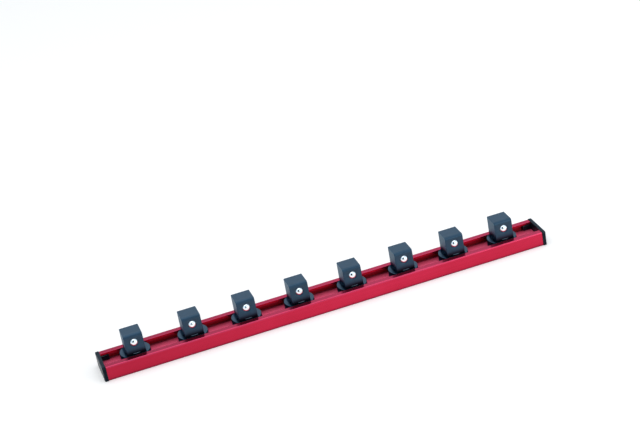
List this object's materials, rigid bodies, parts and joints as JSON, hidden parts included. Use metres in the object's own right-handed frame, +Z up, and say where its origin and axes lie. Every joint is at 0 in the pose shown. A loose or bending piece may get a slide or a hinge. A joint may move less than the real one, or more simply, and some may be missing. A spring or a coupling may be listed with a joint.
{
  "type": "socket rail",
  "caption": "Red channel rail for tool sockets, with black sliding clips that each carry a half-inch square drive and a sprung detent ball.",
  "frame": {"origin": "middle of the rail, on the surface that it stands on", "axes": "+X along the rail, +Z up, and the detent balls look along -Y"},
  "size_m": [0.31, 0.0242, 0.0243],
  "materials": {
    "anodised_rail": "red anodised, satin, fine lines along the extrusion",
    "black_moulding": "moulded black plastic, semi-gloss",
    "bright_ball": "polished steel",
    "spring_steel": "drawn wire"
  },
  "bodies": {
    "rail": {"rail_extrusion": "anodised_rail", "end_cap_left": "black_moulding", "end_cap_right": "black_moulding"},
    "clip_1": {"socket_clip_1": "black_moulding", "detent_spring_1": "spring_steel"},
    "ball_1": {"detent_ball_1": "bright_ball"},
    "clip_2": {"socket_clip_2": "black_moulding", "detent_spring_2": "spring_steel"},
    "ball_2": {"detent_ball_2": "bright_ball"},
    "clip_3": {"socket_clip_3": "black_moulding", "detent_spring_3": "spring_steel"},
    "ball_3": {"detent_ball_3": "bright_ball"},
    "clip_4": {"socket_clip_4": "black_moulding", "detent_spring_4": "spring_steel"},
    "ball_4": {"detent_ball_4": "bright_ball"},
    "clip_5": {"socket_clip_5": "black_moulding", "detent_spring_5": "spring_steel"},
    "ball_5": {"detent_ball_5": "bright_ball"},
    "clip_6": {"socket_clip_6": "black_moulding", "detent_spring_6": "spring_steel"},
    "ball_6": {"detent_ball_6": "bright_ball"},
    "clip_7": {"socket_clip_7": "black_moulding", "detent_spring_7": "spring_steel"},
    "ball_7": {"detent_ball_7": "bright_ball"},
    "clip_8": {"socket_clip_8": "black_moulding", "detent_spring_8": "spring_steel"},
    "ball_8": {"detent_ball_8": "bright_ball"}
  },
  "joints": [
    {"name": "clip_1_slide", "type": "slide", "parent": "rail", "child": "clip_1", "axis": [1, 0, 0], "range_m": [-0.0086, 0.0092]},
    {"name": "clip_2_slide", "type": "slide", "parent": "rail", "child": "clip_2", "axis": [1, 0, 0], "range_m": [-0.0092, 0.0081]},
    {"name": "clip_3_slide", "type": "slide", "parent": "rail", "child": "clip_3", "axis": [1, 0, 0], "range_m": [-0.0081, 0.008]},
    {"name": "clip_4_slide", "type": "slide", "parent": "rail", "child": "clip_4", "axis": [1, 0, 0], "range_m": [-0.008, 0.0083]},
    {"name": "clip_5_slide", "type": "slide", "parent": "rail", "child": "clip_5", "axis": [1, 0, 0], "range_m": [-0.0083, 0.0079]},
    {"name": "clip_6_slide", "type": "slide", "parent": "rail", "child": "clip_6", "axis": [1, 0, 0], "range_m": [-0.0079, 0.0078]},
    {"name": "clip_7_slide", "type": "slide", "parent": "rail", "child": "clip_7", "axis": [1, 0, 0], "range_m": [-0.0078, 0.0075]},
    {"name": "clip_8_slide", "type": "slide", "parent": "rail", "child": "clip_8", "axis": [1, 0, 0], "range_m": [-0.0075, 0.0113]},
    {"name": "ball_1_press", "type": "slide", "parent": "clip_1", "child": "ball_1", "axis": [0, 1, 0], "range_m": [0, 0.0014], "stiffness_N_per_m": 1500, "deforming": ["detent_spring_1"]},
    {"name": "ball_2_press", "type": "slide", "parent": "clip_2", "child": "ball_2", "axis": [0, 1, 0], "range_m": [0, 0.0014], "stiffness_N_per_m": 1500, "deforming": ["detent_spring_2"]},
    {"name": "ball_3_press", "type": "slide", "parent": "clip_3", "child": "ball_3", "axis": [0, 1, 0], "range_m": [0, 0.0014], "stiffness_N_per_m": 1500, "deforming": ["detent_spring_3"]},
    {"name": "ball_4_press", "type": "slide", "parent": "clip_4", "child": "ball_4", "axis": [0, 1, 0], "range_m": [0, 0.0014], "stiffness_N_per_m": 1500, "deforming": ["detent_spring_4"]},
    {"name": "ball_5_press", "type": "slide", "parent": "clip_5", "child": "ball_5", "axis": [0, 1, 0], "range_m": [0, 0.0014], "stiffness_N_per_m": 1500, "deforming": ["detent_spring_5"]},
    {"name": "ball_6_press", "type": "slide", "parent": "clip_6", "child": "ball_6", "axis": [0, 1, 0], "range_m": [0, 0.0014], "stiffness_N_per_m": 1500, "deforming": ["detent_spring_6"]},
    {"name": "ball_7_press", "type": "slide", "parent": "clip_7", "child": "ball_7", "axis": [0, 1, 0], "range_m": [0, 0.0014], "stiffness_N_per_m": 1500, "deforming": ["detent_spring_7"]},
    {"name": "ball_8_press", "type": "slide", "parent": "clip_8", "child": "ball_8", "axis": [0, 1, 0], "range_m": [0, 0.0014], "stiffness_N_per_m": 1500, "deforming": ["detent_spring_8"]}
  ]
}
